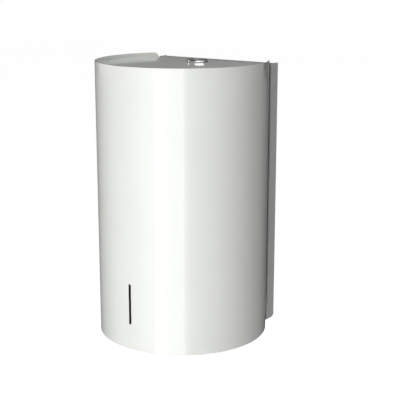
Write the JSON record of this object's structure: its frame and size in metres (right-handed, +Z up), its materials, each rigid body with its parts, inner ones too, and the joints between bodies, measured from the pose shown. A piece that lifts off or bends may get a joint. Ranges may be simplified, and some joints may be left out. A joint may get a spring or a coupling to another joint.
{
  "type": "centre-feed paper towel dispenser",
  "caption": "Wall-mounted centre-feed paper towel dispenser: tall rounded white steel cover, hinged at its foot on a shallow casing, with recessed top, key lock, level slot and outlet below.",
  "frame": {"origin": "centre of the four wall screw holes, on the wall plane (the back panel's outer face)", "axes": "+X to the user's right, +Y into the wall, +Z up; the cover's front faces -Y"},
  "size_m": [0.23, 0.205, 0.37],
  "materials": {
    "cover_paint": "gloss white powder coat on steel sheet",
    "casing_paint": "gloss white powder coat on steel sheet",
    "shelf_paint": "satin black powder coat on steel sheet",
    "nozzle_plastic": "moulded light grey plastic, fine matt",
    "tear_steel": "stamped stainless steel",
    "lock_chrome": "polished chrome plate",
    "zinc_steel": "bright zinc plate",
    "buffer_rubber": "matt black rubber"
  },
  "bodies": {
    "casing": {"back_casing": "casing_paint", "lock_keeper": "zinc_steel", "keeper_post": "zinc_steel", "closing_buffers": "buffer_rubber", "hinge_bracket_left": "zinc_steel", "hinge_bracket_right": "zinc_steel", "hinge_pin_left": "zinc_steel", "hinge_pin_right": "zinc_steel"},
    "cover": {"cover_shell": "cover_paint", "top_plate": "cover_paint", "bottom_shelf": "shelf_paint", "paper_nozzle": "nozzle_plastic", "nozzle_ring": "nozzle_plastic", "tear_ring": "tear_steel", "hinge_leaf_left": "zinc_steel", "hinge_leaf_right": "zinc_steel", "lock_housing": "lock_chrome", "lock_nut": "zinc_steel"},
    "lock_rotor": {"lock_plug": "lock_chrome", "lock_cam": "zinc_steel", "cam_screw": "zinc_steel"}
  },
  "joints": [
    {"name": "cover_tilt", "type": "hinge", "parent": "casing", "child": "cover", "pos_m": [0, -0.014, -0.177], "axis": [1, 0, 0], "range_deg": [0, 75]},
    {"name": "lock_turn", "type": "hinge", "parent": "cover", "child": "lock_rotor", "pos_m": [0, -0.056, 0.1547], "axis": [0, 0, 1], "range_deg": [0, 90]}
  ]
}
